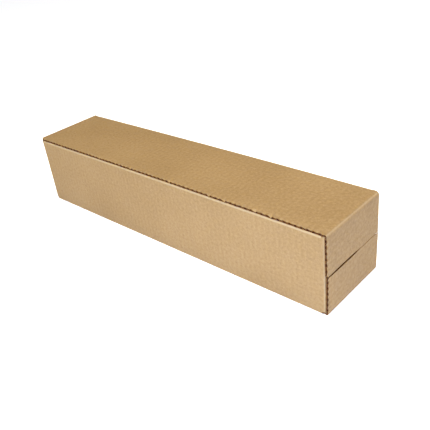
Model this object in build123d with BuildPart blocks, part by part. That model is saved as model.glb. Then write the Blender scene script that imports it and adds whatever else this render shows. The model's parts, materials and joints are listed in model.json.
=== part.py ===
from build123d import *

import os
from math import cos, radians, sin, tan

# Long shipping box: one blank of single-wall kraft corrugated board, slotted, creased and folded.
# The tube of four long panels is closed by a glued tab, and each end by four flaps.
# The two inner flaps of an end hang on the front and back panels and stay folded in.
# The two outer flaps hang on the top and bottom panels and swing on their creases.
# Frame: X along the box, Y from front to back, Z up, origin at the middle of the base.
# All sizes are in millimetres.

# Outside size with every flap pressed flat
box_length = 520.0
box_width = 108.0
box_height = 108.0

# The board: two liners with a fluted medium between them, flutes running round the tube
board = 3.5
liner = 0.3
medium = 0.3
flute_pitch = 7.5
flank_angle = 60.0
crest_bevel = 0.6

# Creases, slots and the glued tab
fold_radius = 3.0
crushed_band = 3.0
slot_setback = 1.5
left_slot_setback = 4.0
slot_gap = 2.0
seam_gap = 1.0
flap_seat_gap = 0.2
edge_hollow = 1.6
tab_width = 30.0
tab_end_gap = 8.0
tab_end_slope = 6.0

# Degrees by which the outer flaps have sprung open from flat
upper_lift = 0.4
lower_lift = 0.8

# Where the panels end
end_x = box_length / 2
side_fold_x = end_x - board - flap_seat_gap
wall_end_x = side_fold_x - board
front_y = -box_width / 2
back_y = box_width / 2
front_top_z = box_height - board
flap_length = (box_height - seam_gap) / 2
inner_flap_length = (box_width - seam_gap) / 2
inner_flap_low_z = board + slot_gap
inner_flap_high_z = box_height - board - slot_gap

# Where the outer flaps and their panels start at the front: the right upper one runs on from the
# top panel's raw edge, the others stand back at their slots
outer_flap_near_y = {
    ("right", "upper"): front_y,
    ("right", "lower"): front_y + slot_setback,
    ("left", "upper"): front_y + left_slot_setback,
    ("left", "lower"): front_y + left_slot_setback,
}
outer_flap_far_y = back_y - slot_setback

# The open channel of one flute: straight flanks and a crest pressed flat where it is glued
hollow = board - 2 * liner
arch_height = hollow - medium
flank = radians(flank_angle)
arch_half_width = (flute_pitch / 2 + hollow / tan(flank) - medium / sin(flank)) / 2

with BuildSketch() as arch:
    Trapezoid(2 * arch_half_width, arch_height, flank_angle, align=(Align.CENTER, Align.MIN))
    chamfer(arch.vertices().sort_by(Axis.Y)[-2:], crest_bevel)


def board_plane(origin, run, outward):
    """A plane across the flutes: its X runs along the board, its Y points out of the box."""
    return Plane(origin=origin, x_dir=run, z_dir=Vector(*run).cross(Vector(*outward)))


def flute_row(run_start, run_end):
    """The channels between two distances along a board whose outer face is Y = 0."""
    count = int((run_end - run_start - 2 * arch_half_width) // flute_pitch)
    middle = (run_start + run_end) / 2
    with BuildSketch(mode=Mode.PRIVATE) as row:
        with Locations((middle, liner - board)):
            with GridLocations(flute_pitch, 0, count + 1, 1):
                add(arch.sketch)
        with Locations((middle, -liner)):
            with GridLocations(flute_pitch, 0, count, 1):
                add(arch.sketch, rotation=180)
    return row.sketch


def crease_round():
    """What the bend takes off the sharp outer corner of a crease, from its corner point inwards."""
    with BuildSketch(mode=Mode.PRIVATE) as corner:
        Rectangle(fold_radius, fold_radius, align=(Align.MIN, Align.MAX))
        with Locations((fold_radius, -fold_radius)):
            Circle(fold_radius, mode=Mode.SUBTRACT)
    return corner.sketch


# The folded body: tube, glued tab and inner flaps
with BuildPart() as box_body:
    # The front panel folds in under the top panel, whose raw edge lies over that crease
    with BuildSketch(Plane.YZ.offset(-wall_end_x)) as tube:
        with Locations((0, front_top_z / 2)):
            Rectangle(box_width, front_top_z)
        fillet(tube.vertices().sort_by(lambda corner: corner.X + corner.Y)[:3], fold_radius)
        with Locations((0, box_height - board / 2)):
            Rectangle(box_width, board)
        fillet(tube.vertices().sort_by(lambda corner: corner.X + corner.Y)[-1], fold_radius)
        with Locations((0, box_height / 2)):
            Rectangle(box_width - 2 * board, box_height - 2 * board, mode=Mode.SUBTRACT)
    extrude(amount=2 * wall_end_x)

    # The top and bottom panels reach out to the outer flaps' creases, mitred for the fold
    for end_name, side in (("right", 1), ("left", -1)):
        for level_name, panel_z, inward in (("lower", 0, 1), ("upper", box_height, -1)):
            near_y = outer_flap_near_y[end_name, level_name]
            with BuildSketch(Plane.XZ.offset(-(near_y + outer_flap_far_y) / 2)):
                with BuildLine():
                    Polyline(
                        (side * wall_end_x, panel_z),
                        (side * end_x, panel_z),
                        (side * (end_x - board), panel_z + inward * board),
                        (side * wall_end_x, panel_z + inward * board),
                        close=True,
                    )
                make_face()
            extrude(amount=(outer_flap_far_y - near_y) / 2, both=True)
            with BuildSketch(board_plane((side * end_x, 0, panel_z), (-side, 0, 0), (0, 0, -inward))):
                add(crease_round())
            extrude(amount=box_width, both=True, mode=Mode.SUBTRACT)

    # Beside the left slot the top panel's raw edge runs on to the end of the front panel
    with BuildSketch(Plane.XY.offset(front_top_z)):
        with Locations((-side_fold_x, front_y)):
            Rectangle(2 * board, left_slot_setback, align=(Align.MIN, Align.MIN))
    extrude(amount=board)

    # The tab comes off the front panel's top crease and is glued under the top panel
    tab_end_x = wall_end_x - tab_end_gap
    with BuildSketch(Plane.XY.offset(front_top_z - board)):
        with BuildLine():
            Polyline(
                (-tab_end_x, front_y + board),
                (tab_end_x, front_y + board),
                (tab_end_x - tab_end_slope, front_y + tab_width),
                (tab_end_slope - tab_end_x, front_y + tab_width),
                close=True,
            )
        make_face()
    extrude(amount=board)

    # Inner flaps, folded in at both ends of the front and back panels
    for side in (-1, 1):
        for fold_y in (front_y, back_y):
            inward = -1 if fold_y > 0 else 1
            with BuildSketch(Plane.XY.offset(inner_flap_low_z)) as inner_flap:
                with Locations((side * (side_fold_x - board / 2), fold_y + inward * inner_flap_length / 2)):
                    Rectangle(board, inner_flap_length)
                by_corner = inner_flap.vertices().sort_by(lambda corner: side * corner.X - inward * corner.Y)
                fillet(by_corner[-1], fold_radius)
            extrude(amount=inner_flap_high_z - inner_flap_low_z)

    # Flutes of the top panel, open at its raw front edge and crushed shut at the back crease
    with BuildSketch(board_plane((0, front_y, box_height), (1, 0, 0), (0, 0, 1))):
        add(flute_row(-end_x + board + crushed_band, end_x - board - crushed_band))
    extrude(amount=-(box_width - board - crushed_band), mode=Mode.SUBTRACT)

    # Flutes of the inner flaps, open at the slots
    for side in (-1, 1):
        for fold_y in (front_y, back_y):
            inward = -1 if fold_y > 0 else 1
            flap_origin = (side * side_fold_x, fold_y, box_height / 2)
            with BuildSketch(board_plane(flap_origin, (0, inward, 0), (side, 0, 0))):
                add(flute_row(board + crushed_band, inner_flap_length - edge_hollow))
            extrude(amount=box_height / 2 - board, both=True, mode=Mode.SUBTRACT)

box_body.part.label = "box_body"
os.makedirs("parts", exist_ok=True)
export_step(box_body.part, "parts/box_body.step")

# The outer flaps, hinged on the outer line of their creases
for end_name, side in (("right", 1), ("left", -1)):
    for level_name, hinge_z, toward, lift in (
        ("upper", box_height, -1, upper_lift),
        ("lower", 0, 1, lower_lift),
    ):
        near_y = outer_flap_near_y[end_name, level_name]
        lean = radians(lift)
        run = (side * sin(lean), 0, toward * cos(lean))
        outward = (side * cos(lean), 0, -toward * sin(lean))
        hinge_plane = board_plane((side * end_x, (near_y + outer_flap_far_y) / 2, hinge_z), run, outward)
        with BuildPart() as outer_flap:
            with BuildSketch(hinge_plane):
                with BuildLine():
                    Polyline((0, 0), (flap_length, 0), (flap_length, -board), (board, -board), close=True)
                make_face()
                add(crease_round(), mode=Mode.SUBTRACT)
                add(flute_row(board + crushed_band, flap_length - edge_hollow), mode=Mode.SUBTRACT)
                with Locations((flap_length - edge_hollow / 2, -board / 2)):
                    Rectangle(edge_hollow, hollow, mode=Mode.SUBTRACT)
            extrude(amount=(outer_flap_far_y - near_y) / 2, both=True)
        outer_flap.part.label = f"{end_name}_{level_name}_flap"
        export_step(outer_flap.part, f"parts/{outer_flap.part.label}.step")
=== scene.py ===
import json
import math

import bpy
import bmesh
from mathutils import Matrix, Quaternion, Vector


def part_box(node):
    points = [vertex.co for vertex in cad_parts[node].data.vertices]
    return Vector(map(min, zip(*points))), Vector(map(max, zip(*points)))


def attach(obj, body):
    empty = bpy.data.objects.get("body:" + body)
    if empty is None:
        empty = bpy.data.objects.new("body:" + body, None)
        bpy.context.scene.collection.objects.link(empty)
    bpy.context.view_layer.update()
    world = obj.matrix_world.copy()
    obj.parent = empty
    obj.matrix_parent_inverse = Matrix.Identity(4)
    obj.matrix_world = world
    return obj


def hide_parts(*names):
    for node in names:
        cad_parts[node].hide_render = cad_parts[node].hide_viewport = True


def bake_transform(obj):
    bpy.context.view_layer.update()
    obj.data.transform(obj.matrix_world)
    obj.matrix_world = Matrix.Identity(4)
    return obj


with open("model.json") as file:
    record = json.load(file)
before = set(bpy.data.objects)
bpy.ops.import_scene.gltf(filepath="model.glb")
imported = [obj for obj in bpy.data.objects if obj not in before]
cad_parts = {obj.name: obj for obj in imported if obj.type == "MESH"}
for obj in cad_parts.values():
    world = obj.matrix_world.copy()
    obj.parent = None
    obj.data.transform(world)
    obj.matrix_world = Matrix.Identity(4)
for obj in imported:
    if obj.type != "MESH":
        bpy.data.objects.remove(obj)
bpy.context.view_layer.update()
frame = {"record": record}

# A kraft shipping carton. Lengths are in millimetres and become metres when a mesh is made.
# A point of the board is given by its run along the sheet, its place across the run, and its
# share of the thickness, from 0 at the outer face to 1 at the inner face.
perMetre = 1000.0
roundOff = 0.01    # equal lengths may differ by this much
bodyLow, bodyHigh = (Vector(corner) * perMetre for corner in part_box("box_body"))
frontY, backY, topZ = bodyLow.y, bodyHigh.y, bodyHigh.z
creaseX = max(joint["pos_m"][0] for joint in frame["record"]["behaviour"]["joints"]) * perMetre

board = {
    "thick": 3.5,          # single wall, a little crushed by the die
    "liner": 0.3,
    "medium": 0.32,
    "pitch": 7.5,          # coarse flute, running round the tube
    "flatCrest": 0.18,     # how much fuller than a plain wave the medium is where it is glued
    "perFlute": 14,        # samples along one wave
    "foldRadius": 3.0,     # folds of the tube and the inner flaps
    "wallInset": 0.5,      # the straight tube ends this far before the inner flaps' inner faces
    "crush": 0.42,         # share of the thickness that a crease line takes
    "crushReach": 2.6,
    "edgeRows": (0.0, 0.6, 1.8),    # rows of points beside a raw edge, where it is pressed in
    "dip": 1.2,            # how far a raw edge's outer liner is pressed in between flute crests
    "dipReach": 1.8,
    "edgeHollow": 1.6,     # the medium ends this far inside a free edge
    "seam": 2.4,           # between the free edges of two flaps where it is widest
    "seat": 0.2,           # between inner and outer flaps
    "slot": 1.5,           # a slotted edge stands back this far from the panel's face
    "leftSlot": 4.0,       # and this far at the front of the left end
    "sharpAngle": 38.0,    # degrees between two faces that makes their edge a sharp one
}
linerShare = board["liner"] / board["thick"]
mediumShare = board["medium"] / board["thick"]
fineStep = board["pitch"] / board["perFlute"]
sideX = creaseX - board["thick"] - board["seat"]       # outer face of the inner flaps
wallX = sideX - board["thick"] - board["wallInset"]    # where the straight tube ends

# The folded box is not quite true: the top panel bows and the outer flaps spring a little
spring = {
    "crown": 1.0,                # the top is this much higher at mid length
    "crownFrom": 0.25,           # share of the height below which the sides stay straight
    "upper": (0.4, 0.3),         # degrees from flat at the front and the back of a flap
    "lower": (0.8, 0.6),
}


def smooth(value, low, high):
    t = min(max((value - low) / (high - low), 0.0), 1.0)
    return t * t * (3 - 2 * t)


def steps(low, high, spacing):
    count = max(1, round(abs(high - low) / spacing))
    return [low + (high - low) * i / count for i in range(count + 1)]


def bell(distance, reach):
    return math.exp(-(distance / reach) ** 2)


def settle(x, y, z):
    drop = spring["crown"] * (x / creaseX) ** 2
    return (x, y, z - drop * smooth(z, spring["crownFrom"] * topZ, topZ))


# Share of the thickness that a crease leaves
def crushAt(distance):
    return 1 - board["crush"] * bell(distance, board["crushReach"])


# At a raw edge the cutting rule has pressed the outer liner in where the medium is away from it
def dipAt(run, phase, toEdge, share):
    away = 0.5 + 0.5 * math.cos(2 * math.pi * (run + phase) / board["pitch"])
    deepest = board["dip"] / board["thick"] * bell(toEdge, board["dipReach"])
    return away * deepest * max(1 - 2 * share, 0.0)


# A sheet gathers points, faces, a skin number for each face and the wear of each point, which is
# partly real wear and partly a painted highlight
outerSkin, innerSkin, cutSkin, shadedInsideSkin = range(4)


def newSheet():
    return {"points": [], "faces": [], "skins": [], "wearAndHighlight": []}


# A slab between two grids of points, with skins for its outer face, its inner face and its rim
def addSlab(sheet, outer, inner, wearAndHighlight, skins):
    rows, columns = len(outer), len(outer[0])
    base = len(sheet["points"])
    for grid in (outer, inner):
        for line in grid:
            sheet["points"].extend(line)
        for line in wearAndHighlight:
            sheet["wearAndHighlight"].extend(line)

    def at(layer, i, j):
        return base + (layer * rows + i) * columns + j

    def face(corners, skin):
        sheet["faces"].append(corners)
        sheet["skins"].append(skin)

    for i in range(rows - 1):
        for j in range(columns - 1):
            face((at(0, i, j), at(0, i, j + 1), at(0, i + 1, j + 1), at(0, i + 1, j)), skins[0])
            face((at(1, i, j), at(1, i + 1, j), at(1, i + 1, j + 1), at(1, i, j + 1)), skins[1])
        for j, k in ((0, 0), (columns - 1, 1)):
            rim = (at(0, i, j), at(0, i + 1, j), at(1, i + 1, j), at(1, i, j))
            face(rim if k == 0 else rim[::-1], skins[2])
    for j in range(columns - 1):
        for i, k in ((0, 0), (rows - 1, 1)):
            rim = (at(0, i, j), at(1, i, j), at(1, i, j + 1), at(0, i, j + 1))
            face(rim if k == 0 else rim[::-1], skins[2])


# One paper of the board, between two shares of its thickness
def addLayer(sheet, place, runs, rows, near, far, wearAndHighlight, skins):
    outer = [[place(run, row, near(run)) for row in rows] for run in runs]
    inner = [[place(run, row, far(run)) for row in rows] for run in runs]
    addSlab(sheet, outer, inner, [[wearAndHighlight(run, row) for row in rows] for run in runs], skins)


# A liner's face inside the board takes the medium's dark paper, as painted shade of the flute
# hollows
def addOuterLiner(sheet, place, runs, rows, wearAndHighlight):
    addLayer(sheet, place, runs, rows, lambda run: 0.0, lambda run: linerShare, wearAndHighlight,
             (outerSkin, shadedInsideSkin, cutSkin))


def addInnerLiner(sheet, place, runs, rows, wearAndHighlight):
    addLayer(sheet, place, runs, rows, lambda run: 1 - linerShare, lambda run: 1.0, wearAndHighlight,
             (shadedInsideSkin, innerSkin, cutSkin))


def addMedium(sheet, place, runs, rows, phase, wearAndHighlight):
    swing = 0.5 - linerShare - mediumShare / 2
    steep = 2 * math.pi / board["pitch"] * swing * board["thick"]

    def centre(run):
        turn = 2 * math.pi * (run + phase) / board["pitch"]
        wave = math.cos(turn) * (1 + board["flatCrest"] * math.sin(turn) ** 2)
        half = mediumShare / 2 * math.hypot(1, steep * math.sin(turn))
        return 0.5 + swing * wave, half

    def near(run):
        middle, half = centre(run)
        return middle - half

    def far(run):
        middle, half = centre(run)
        return middle + half

    addLayer(sheet, place, runs, rows, near, far, wearAndHighlight, (shadedInsideSkin, shadedInsideSkin, cutSkin))


# The three papers together. The medium stops short of a free edge.
def addBoard(sheet, place, runs, rows, phase, wearAndHighlight, mediumEnd=math.inf):
    addOuterLiner(sheet, place, runs, rows, wearAndHighlight)
    addInnerLiner(sheet, place, runs, rows, wearAndHighlight)
    addMedium(sheet, place, [run for run in runs if run < mediumEnd], rows, phase, wearAndHighlight)


def makePiece(name, sheet, skins):
    mesh = bpy.data.meshes.new(name)
    metres = [tuple(value / perMetre for value in settle(*point)) for point in sheet["points"]]
    mesh.from_pydata(metres, [], sheet["faces"])
    for skin in skins:
        mesh.materials.append(skin)
    mesh.polygons.foreach_set("material_index", sheet["skins"])
    wearAndHighlight = mesh.attributes.new("wearAndHighlight", "FLOAT", "POINT")
    wearAndHighlight.data.foreach_set("value", sheet["wearAndHighlight"])
    work = bmesh.new()
    work.from_mesh(mesh)
    bmesh.ops.recalc_face_normals(work, faces=work.faces)
    work.to_mesh(mesh)
    work.free()
    mesh.shade_smooth()
    mesh.set_sharp_from_angle(angle=math.radians(board["sharpAngle"]))
    piece = bpy.data.objects.new(name, mesh)
    bpy.context.scene.collection.objects.link(piece)
    return piece


# Materials
def toLinear(hexColour):
    channels = [int(hexColour[i:i + 2], 16) / 255 for i in (1, 3, 5)]
    return [c / 12.92 if c <= 0.04045 else ((c + 0.055) / 1.055) ** 2.4 for c in channels] + [1.0]


def addNode(tree, kind, settings=None, inputs=None):
    node = tree.nodes.new(kind)
    for name, value in (settings or {}).items():
        setattr(node, name, value)
    for name, value in (inputs or {}).items():
        socket = node.inputs[name]
        if isinstance(value, bpy.types.NodeSocket):
            tree.links.new(value, socket)
        else:
            socket.default_value = value
    return node


def newMaterial(name):
    material = bpy.data.materials.new(name)
    material.use_nodes = True
    material.node_tree.nodes.clear()
    return material, material.node_tree


# Kraft linerboard, machine made and unbleached: dull, fibrous, cloudy where the pulp flocked,
# with a faint washboard over the flutes, and paler along folds, partly where a fold stretched it
# and partly as a painted highlight of the crease
kraft = {
    "colour": "#957b5b",
    "dark": "#896f4f",
    "light": "#a18767",
    # pale of worn creases, also used as a painted highlight along folds
    "paleWearAndHighlight": "#beab8f",
    "fleck": "#765936",
    "rough": 0.82,
    "specular": 0.25,
    "fibreWidth": 0.5,          # real fibres are 0.03 mm wide; drawn coarser so that they show
    "fibreLength": 1.8,
    "fibreShare": 0.5,          # how much the fibres count beside the clouds
    "cloud": 3.6,               # flocks of pulp
    "shade": 90.0,              # slow change of tone from the paper machine
    "shadeShare": 0.4,
    "ribShadeShare": 0.025,          # painted shade of the washboard: faint stripes at the flute pitch
    "spread": (0.7, 1.2),       # what the mottle adds up to where it is darkest and lightest
    "fleckScale": 0.45,         # sparse dark fibres, about twice as large as the others
    "fleckRange": (0.7, 0.8),   # of the noise, from none to full strength
    "fleckStrength": 0.5,
    "wearAndHighlightStrength": 0.75,
    "washboard": 0.03,          # depth of the dips between flute crests
    "grainDepth": 0.02,
}


def kraftLiner(name, fibreAxis, waveAxis):
    material, tree = newMaterial(name)
    place = addNode(tree, "ShaderNodeTexCoord").outputs["Object"]
    stretch = [perMetre / kraft["fibreWidth"]] * 3
    stretch["XYZ".index(fibreAxis)] = perMetre / kraft["fibreLength"]
    along = addNode(tree, "ShaderNodeMapping", inputs={
        "Vector": place, "Scale": stretch}).outputs["Vector"]
    fibres = addNode(tree, "ShaderNodeTexNoise", inputs={
        "Vector": along, "Scale": 1.0, "Detail": 3.0, "Roughness": 0.6}).outputs["Fac"]
    clouds = addNode(tree, "ShaderNodeTexNoise", inputs={
        "Vector": place, "Scale": perMetre / kraft["cloud"], "Detail": 4.0,
        "Roughness": 0.7}).outputs["Fac"]
    shade = addNode(tree, "ShaderNodeTexNoise", inputs={
        "Vector": place, "Scale": perMetre / kraft["shade"], "Detail": 2.0}).outputs["Fac"]
    axis = addNode(tree, "ShaderNodeSeparateXYZ", inputs={0: place}).outputs[waveAxis]
    turn = addNode(tree, "ShaderNodeMath", {"operation": "MULTIPLY"}, {
        0: axis, 1: 2 * math.pi * perMetre / board["pitch"]}).outputs[0]
    ribs = addNode(tree, "ShaderNodeMath", {"operation": "COSINE"}, {0: turn}).outputs[0]

    grain = addNode(tree, "ShaderNodeMath", {"operation": "MULTIPLY_ADD"}, {
        0: fibres, 1: kraft["fibreShare"], 2: clouds}).outputs[0]
    mottle = addNode(tree, "ShaderNodeMath", {"operation": "MULTIPLY_ADD"}, {
        0: shade, 1: kraft["shadeShare"], 2: grain}).outputs[0]
    # The washboard's shade is painted into the colour as faint stripes at the flute pitch
    ribShaded = addNode(tree, "ShaderNodeMath", {"operation": "MULTIPLY_ADD"}, {
        0: ribs, 1: kraft["ribShadeShare"], 2: mottle}).outputs[0]
    darkest, lightest = kraft["spread"]
    spread = addNode(tree, "ShaderNodeMapRange", inputs={
        "Value": ribShaded, "From Min": darkest, "From Max": lightest}).outputs["Result"]
    ramp = addNode(tree, "ShaderNodeValToRGB", inputs={"Fac": spread})
    ramp.color_ramp.elements[0].color = toLinear(kraft["dark"])
    ramp.color_ramp.elements[1].color = toLinear(kraft["light"])
    middle = ramp.color_ramp.elements.new(0.5)
    middle.color = toLinear(kraft["colour"])

    flecks = addNode(tree, "ShaderNodeTexNoise", inputs={
        "Vector": along, "Scale": kraft["fleckScale"], "Detail": 1.0}).outputs["Fac"]
    none, full = kraft["fleckRange"]
    sparse = addNode(tree, "ShaderNodeMapRange", inputs={
        "Value": flecks, "From Min": none, "From Max": full,
        "To Min": 0.0, "To Max": kraft["fleckStrength"]}).outputs["Result"]
    flecked = addNode(tree, "ShaderNodeMix", {"data_type": "RGBA"}, {
        0: sparse, 6: ramp.outputs["Color"], 7: toLinear(kraft["fleck"])}).outputs[2]
    wearAndHighlight = addNode(tree, "ShaderNodeAttribute", {"attribute_name": "wearAndHighlight"}).outputs["Fac"]
    wornAndHighlit = addNode(tree, "ShaderNodeMath", {"operation": "MULTIPLY"}, {
        0: wearAndHighlight, 1: kraft["wearAndHighlightStrength"]}).outputs[0]
    # Folds are mixed towards the pale colour: partly real wear, partly a painted highlight of the
    # crease
    colour = addNode(tree, "ShaderNodeMix", {"data_type": "RGBA"}, {
        0: wornAndHighlit, 6: flecked, 7: toLinear(kraft["paleWearAndHighlight"])}).outputs[2]

    dips = addNode(tree, "ShaderNodeMath", {"operation": "MULTIPLY"}, {
        0: ribs, 1: kraft["washboard"]}).outputs[0]
    height = addNode(tree, "ShaderNodeMath", {"operation": "MULTIPLY_ADD"}, {
        0: grain, 1: kraft["grainDepth"], 2: dips}).outputs[0]
    bump = addNode(tree, "ShaderNodeBump", inputs={
        "Height": height, "Strength": 1.0, "Distance": 1 / perMetre}).outputs["Normal"]
    shader = addNode(tree, "ShaderNodeBsdfPrincipled", inputs={
        "Base Color": colour, "Normal": bump, "Roughness": kraft["rough"],
        "Specular IOR Level": kraft["specular"]})
    addNode(tree, "ShaderNodeOutputMaterial", inputs={"Surface": shader.outputs[0]})
    return material


# Fluting medium, recycled and left rough: darker and redder than the liner, and darkened further as
# painted shade of the flute hollows; the liners' faces inside the board take it too
shadedFluting = {"colour": "#6d3f27", "dark": "#351a10", "rough": 0.95, "specular": 0.1,
           "grain": 1.2, "detail": 3.0}

# The die's cut through the paper: torn fibre ends, matt and a little browner than the face
cut = {"colour": "#a67d54", "dark": "#7d5638", "rough": 0.95, "specular": 0.1,
       "grain": 0.6, "detail": 2.0}


def roughPaper(name, paper):
    material, tree = newMaterial(name)
    place = addNode(tree, "ShaderNodeTexCoord").outputs["Object"]
    grain = addNode(tree, "ShaderNodeTexNoise", inputs={
        "Vector": place, "Scale": perMetre / paper["grain"],
        "Detail": paper["detail"]}).outputs["Fac"]
    colour = addNode(tree, "ShaderNodeMix", {"data_type": "RGBA"}, {
        0: grain, 6: toLinear(paper["dark"]), 7: toLinear(paper["colour"])}).outputs[2]
    shader = addNode(tree, "ShaderNodeBsdfPrincipled", inputs={
        "Base Color": colour, "Roughness": paper["rough"],
        "Specular IOR Level": paper["specular"]})
    addNode(tree, "ShaderNodeOutputMaterial", inputs={"Surface": shader.outputs[0]})
    return material


medium, cutEdge = roughPaper("shaded_fluting_medium", shadedFluting), roughPaper("cut_paper_edge", cut)
tubeLiner = kraftLiner("kraft_liner_tube", "X", "X")
outerFlapLiner = kraftLiner("kraft_liner_outer_flap", "Z", "Z")
innerFlapLiner = kraftLiner("kraft_liner_inner_flap", "Y", "Y")
tubeSkins = (tubeLiner, tubeLiner, cutEdge, medium)
outerFlapSkins = (outerFlapLiner, outerFlapLiner, cutEdge, medium)
innerFlapSkins = (innerFlapLiner, innerFlapLiner, cutEdge, medium)
print("materials made")


# The tube: one sheet from the raw top edge round the back, base and front to the glued tab
tube = {
    "tabWidth": 30.0,        # of the tab glued under the top panel
    "arcSteps": 6,
    "xSpacing": 2.0,
    "edgeRows": board["edgeRows"] + (4.0, 10.0, 25.0),
    "afterEdge": 20.0,       # from there to the first of the wide rows
    "rowSpacing": 30.0,
    "foldRows": (1.5, 4.0),  # extra rows beside a fold
    "foldCrush": 0.6,        # the crushed band reaches this share of the fold's radius further
    "fluteEnd": 5.0,         # the top panel's flutes are crushed shut this far before the back
    # the folds of the tube are paled: partly stretched paper, partly a painted highlight
    "wearAndHighlightReach": 0.8,
    "wearAndHighlight": 0.4,
    "frontHighlight": 0.9,        # painted highlight of the fold under the raw edge,
    "frontHighlightFrom": 0.9,    # and the share of the height where that begins
}

# Places along the raw top edge where the board was pinched, and how far each pinch shuts it
pinches = {
    "spots": ((-110.0, 0.7), (-44.0, 0.6), (31.0, 0.6), (98.0, 0.9), (122.0, 0.9), (167.5, 0.8),
              (189.0, 0.9)),
    "width": 1.6,
    "reach": 2.5,
    "deepest": 0.95,
}


def pinchAt(x, y):
    total = sum(depth * bell(x - spot, pinches["width"]) for spot, depth in pinches["spots"])
    return min(total, pinches["deepest"]) * bell(y - frontY, pinches["reach"])


# A station of the tube's path is its point, the way inwards and its distance from a fold
def tubePath():
    corners = [(frontY, topZ), (backY, topZ), (backY, 0.0), (frontY, 0.0),
               (frontY, topZ - board["thick"]), (frontY + tube["tabWidth"], topZ - board["thick"])]
    path = []
    radius = board["foldRadius"]
    near, far = tube["foldRows"]
    lastPanel = len(corners) - 2
    for k in range(len(corners) - 1):
        start, end = Vector(corners[k]), Vector(corners[k + 1])
        length = (end - start).length
        run = (end - start).normalized()
        inward = Vector((run.y, -run.x))
        first = 0.0 if k == 0 else radius
        last = length - (0.0 if k == lastPanel else radius)
        if k == 0:
            wideFrom = tube["edgeRows"][-1] + tube["afterEdge"]
            distances = list(tube["edgeRows"]) + steps(wideFrom, last, tube["rowSpacing"])
        else:
            distances = steps(first, last, tube["rowSpacing"])
            distances[1:1] = [first + near, first + far]
            distances[-1:-1] = [last - far, last - near]
        for distance in distances:
            before = distance if k > 0 else math.inf
            after = length - distance if k < lastPanel else math.inf
            toFold = max(min(before, after) - radius * tube["foldCrush"], 0.0)
            path.append((start + run * distance, inward, toFold))
        if k < lastPanel:
            centre = end - run * radius + inward * radius
            for i in range(1, tube["arcSteps"]):
                turn = -math.pi / 2 * i / tube["arcSteps"]
                normal = inward.copy()
                normal.rotate(Matrix.Rotation(turn, 2))
                path.append((centre - normal * radius, normal, 0.0))
    return path


def onTop(point):
    return point.y > topZ - roundOff


def tubePlace(x, station, share):
    point, inward, toFold = station
    if onTop(point):
        share += dipAt(x, 0.0, point.x - frontY, share)
    depth = share * board["thick"] * crushAt(toFold)
    y, z = point + inward * depth
    if onTop(point):
        z -= pinchAt(x, y) * (1 - share) * (board["thick"] - 2 * board["liner"])
    return (x, y, z)


# Pale along the tube's folds: partly stretched paper and partly a painted highlight. The front fold
# under the raw top edge gets a stronger one that is all painted highlight.
def tubeWearAndHighlight(x, station):
    point, toFold = station[0], station[2]
    high = point.y > tube["frontHighlightFrom"] * topZ and not onTop(point)
    underRawEdge = point.x < 0 and high
    return bell(toFold, tube["wearAndHighlightReach"]) * (tube["frontHighlight"] if underRawEdge else tube["wearAndHighlight"])


# The top panel is open board. The others show no edge, so an outer liner and solid board do.
def addTube():
    path = tubePath()
    coarse = steps(-wallX, wallX, tube["xSpacing"])
    fine = steps(-wallX, wallX, fineStep)
    edge = len(tube["edgeRows"])
    fluteEndY = backY - tube["fluteEnd"]
    last = max(k for k, (point, inward, toFold) in enumerate(path)
               if onTop(point) and point.x < fluteEndY)
    top, rest = path[:last + 1], path[last:]
    sheet = newSheet()
    addOuterLiner(sheet, tubePlace, fine, path[:edge], tubeWearAndHighlight)
    addOuterLiner(sheet, tubePlace, coarse, path[edge - 1:], tubeWearAndHighlight)
    addLayer(sheet, tubePlace, coarse, rest, lambda x: linerShare, lambda x: 1.0, tubeWearAndHighlight,
             (shadedInsideSkin, innerSkin, cutSkin))
    addMedium(sheet, tubePlace, fine, top, 0.0, tubeWearAndHighlight)
    addInnerLiner(sheet, tubePlace, fine, top[:edge], tubeWearAndHighlight)
    addInnerLiner(sheet, tubePlace, coarse, top[edge - 1:], tubeWearAndHighlight)
    piece = makePiece("tube_panels", sheet, tubeSkins)
    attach(piece, "box")
    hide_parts("box_body")


# Beside the left slot the raw edge of the top panel runs on to the end of the front panel, where
# its tip has been knocked round
slotCorner = {"tip": 3.4}


def addSlotCorner():
    def place(x, y, share):
        share += dipAt(x, 0.0, y - frontY, share)
        short = max(slotCorner["tip"] - (x + sideX), 0.0)
        away = slotCorner["tip"] - math.sqrt(slotCorner["tip"] ** 2 - short ** 2)
        y += away * (1 - (y - frontY) / board["leftSlot"])
        return (x, y, topZ - share * board["thick"])

    def noWear(x, y):
        return 0.0

    rows = [frontY + distance for distance in board["edgeRows"] + (board["leftSlot"],)]
    runs = steps(-sideX, -wallX, fineStep)
    sheet = newSheet()
    addBoard(sheet, place, runs, rows, 0.0, noWear)
    piece = makePiece("left_slot_corner", sheet, tubeSkins)
    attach(piece, "box")


# Creases of the flaps, paler where folding has stretched the paper and where a highlight is painted
# along the crease
crease = {"wearAndHighlight": 0.45, "wearAndHighlightReach": 0.8}


# A fold: run is the developed distance from the crease line, negative on the panel's side. It
# gives how far a point lies out from the crease line and down from the panel's face.
def foldAt(run, share, lift, radius):
    turn = math.pi / 2 - lift
    tangent, half = radius * math.tan(turn / 2), radius * turn / 2
    depth = share * board["thick"] * crushAt(run)
    if run <= -half:
        return -tangent + run + half, depth
    if run < half:
        angle, bend = (run + half) / radius, radius - depth
        return -tangent + bend * math.sin(angle), radius - bend * math.cos(angle)
    along = tangent + run - half
    out = along * math.sin(lift) - depth * math.cos(lift)
    return out, along * math.cos(lift) + depth * math.sin(lift)


# The run that reaches a given distance along the flap from the crease line
def runTo(distance, radius):
    return distance - radius * math.tan(math.pi / 4) + radius * math.pi / 4


# Pale along a flap's crease: partly stretched paper, partly a painted highlight
def creaseWearAndHighlight(run, across):
    return crease["wearAndHighlight"] * bell(run, crease["wearAndHighlightReach"])


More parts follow.
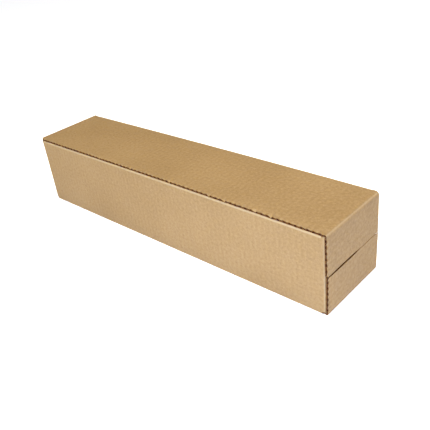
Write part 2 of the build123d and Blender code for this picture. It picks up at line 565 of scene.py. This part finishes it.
# The outer flaps: a curved crease, and stiff board beyond it that is attached to the flap
outerFlap = {
    "radius": 4.4,               # where a flap leaves its panel
    "hingeReach": 2.8,           # how far either side of the crease line a flap bends as it opens
    "boardStart": 8.0,           # developed distance from the crease line to the stiff board
    "rowInset": 5.0,             # the wide rows begin this far from a flap's side edges
    "rowSpacing": 12.0,
    "shut": 1.05,                # each flap reaches this much further where the seam is shut
    "shutFrom": (-4.0, 14.0),    # the seam closes between these places, from front to back
    "frontShut": 0.5,            # share by which it is shut at the front
    "frontEnd": 0.6,             # share of the half width, from the middle, where that ends
}


def liftAt(level, y):
    front, back = spring[level]
    return math.radians(front + (back - front) * smooth(y, frontY, backY))


# The seam between two outer flaps gapes in its front half and is shut behind the middle
def seamShut(y):
    atFront = outerFlap["frontShut"] * (1 - smooth(y, frontY, outerFlap["frontEnd"] * frontY))
    return outerFlap["shut"] * (smooth(y, *outerFlap["shutFrom"]) + atFront)


def flapRows(end, level):
    near = frontY + (board["leftSlot"] if end < 0 else 0.0 if level == "upper" else board["slot"])
    far = backY - board["slot"]
    inset = outerFlap["rowInset"]
    return ([near + distance for distance in board["edgeRows"]]
            + steps(near + inset, far - inset, outerFlap["rowSpacing"])
            + [far - board["edgeRows"][1], far])


def outerFlapPlace(end, level, phase, near):
    def place(run, y, share):
        share += dipAt(run, phase, y - near, share)
        run += seamShut(y) * smooth(run, outerFlap["boardStart"], topZ / 2)
        across, fall = foldAt(run, share, liftAt(level, y), outerFlap["radius"])
        return (end * (creaseX + across), y, topZ - fall if level == "upper" else fall)
    return place


def addOuterFlap(end, level):
    name = f"{'right' if end > 0 else 'left'}_{level}_flap"
    rows, start = flapRows(end, level), outerFlap["boardStart"]
    stop = runTo((topZ - board["seam"]) / 2, outerFlap["radius"])
    panelStart = -runTo(creaseX - wallX, outerFlap["radius"])
    phase = wallX - panelStart
    place = outerFlapPlace(end, level, phase, rows[0])
    for part, runs in (("crease", steps(panelStart, start, fineStep)),
                       ("board", steps(start, stop, fineStep))):
        sheet = newSheet()
        addBoard(sheet, place, runs, rows, phase, creaseWearAndHighlight, stop - board["edgeHollow"])
        piece = makePiece(f"{name}_{part}", sheet, outerFlapSkins)
        if part == "board":
            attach(piece, name)
            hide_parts(name)
        else:
            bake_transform(piece)


# The inner flaps lie folded in behind the outer ones and stay there
innerFlap = {
    "clear": 0.6,          # of the top and bottom panels
    "rowSpacing": 20.0,
}


def addInnerFlap(end, side):
    radius = board["foldRadius"]

    def place(run, z, share):
        across, fall = foldAt(run, share, 0.0, radius)
        return (end * (sideX + across), side * (backY - fall), z)

    inset = board["thick"] + innerFlap["clear"]
    rows = steps(inset, topZ - inset, innerFlap["rowSpacing"])
    panelStart = -runTo(sideX - wallX, radius)
    stop = runTo(backY - board["seam"] / 2, radius)
    runs = steps(panelStart, stop, fineStep)
    sheet = newSheet()
    addBoard(sheet, place, runs, rows, wallX - panelStart, creaseWearAndHighlight)
    name = f"{'right' if end > 0 else 'left'}_{'front' if side < 0 else 'back'}_inner_flap"
    piece = makePiece(name, sheet, innerFlapSkins)
    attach(piece, "box")


addTube()
addSlotCorner()
for end in (1, -1):
    for level in ("upper", "lower"):
        addOuterFlap(end, level)
    for side in (-1, 1):
        addInnerFlap(end, side)
print("board folded")


# Studio
studio = {
    "camera": (525.6, -469.1, 427.9),
    "aim": (49.7, 0.0, 36.8),
    "roll": -7.05,             # degrees
    "lens": 48.18,
    "sensor": 36.0,
    "clip": (0.01, 50.0),      # metres
    "floor": "#ffffff",
    "floorReach": 60.0,        # metres
    "floorRough": 0.9,
    "floorSpecular": 0.1,
    "floorGlow": 0.58,
    "glow": "#ebf1ff",
    "world": 0.42,
    "sky": "#fffaf0",
    # A warm key lights the long front, and a cool one beside it takes the yellow off its right end.
    # The large one overhead lights the top evenly. The fill and the side light only lift the
    # shadows from the left and the right. Each has its place, target and size in metres, its
    # watts and its colour.
    "lights": {
        "key": ((0.5, -0.95, 0.75), (0.1, 0, 0.05), 0.7, 13.4, "#fff39a"),
        "cool": ((0.75, -0.85, 0.7), (0.1, 0, 0.05), 0.7, 12.0, "#0088ff"),
        "top": ((0.35, 0.2, 1.5), (0.1, 0, 0.1), 1.0, 18.2, "#ffedb0"),
        "fill": ((-1.4, -1.2, 1.2), (0, 0, 0.05), 1.2, 1.0, "#ffe8c0"),
        "side": ((1.5, -0.3, 0.25), (0.26, 0, 0.03), 0.6, 0.2, "#ffffff"),
    },
}


def addCamera():
    data = bpy.data.cameras.new("camera")
    data.lens, data.sensor_width = studio["lens"], studio["sensor"]
    data.clip_start, data.clip_end = studio["clip"]
    camera = bpy.data.objects.new("camera", data)
    place, aim = Vector(studio["camera"]) / perMetre, Vector(studio["aim"]) / perMetre
    camera.location = place
    camera.rotation_mode = "QUATERNION"
    level = (aim - place).to_track_quat("-Z", "Y")
    camera.rotation_quaternion = level @ Quaternion((0, 0, 1), math.radians(studio["roll"]))
    bpy.context.scene.collection.objects.link(camera)
    bpy.context.scene.camera = camera


def addLight(name, place, target, size, watts, colour):
    data = bpy.data.lights.new(name, "AREA")
    data.shape, data.size, data.energy = "DISK", size, watts
    data.color = toLinear(colour)[:3]
    light = bpy.data.objects.new(name, data)
    light.location = place
    light.rotation_mode = "QUATERNION"
    light.rotation_quaternion = (Vector(target) - Vector(place)).to_track_quat("-Z", "Y")
    bpy.context.scene.collection.objects.link(light)


def addFloor():
    reach = studio["floorReach"]
    mesh = bpy.data.meshes.new("studio_floor")
    corners = [(-reach, -reach, 0), (reach, -reach, 0), (reach, reach, 0), (-reach, reach, 0)]
    mesh.from_pydata(corners, [], [(0, 1, 2, 3)])
    material, tree = newMaterial("white_studio_floor")
    shader = addNode(tree, "ShaderNodeBsdfPrincipled", inputs={
        "Base Color": toLinear(studio["floor"]), "Roughness": studio["floorRough"],
        "Specular IOR Level": studio["floorSpecular"],
        "Emission Color": toLinear(studio["glow"]), "Emission Strength": studio["floorGlow"]})
    addNode(tree, "ShaderNodeOutputMaterial", inputs={"Surface": shader.outputs[0]})
    mesh.materials.append(material)
    floor = bpy.data.objects.new("studio_floor", mesh)
    bpy.context.scene.collection.objects.link(floor)


def addWorld():
    world = bpy.data.worlds.new("studio_world")
    world.use_nodes = True
    sky = world.node_tree.nodes["Background"]
    sky.inputs["Color"].default_value = toLinear(studio["sky"])
    sky.inputs["Strength"].default_value = studio["world"]
    bpy.context.scene.world = world


addCamera()
for name, light in studio["lights"].items():
    addLight(name, *light)
addFloor()
addWorld()
bpy.context.scene.view_settings.view_transform = "Standard"
print("studio ready")
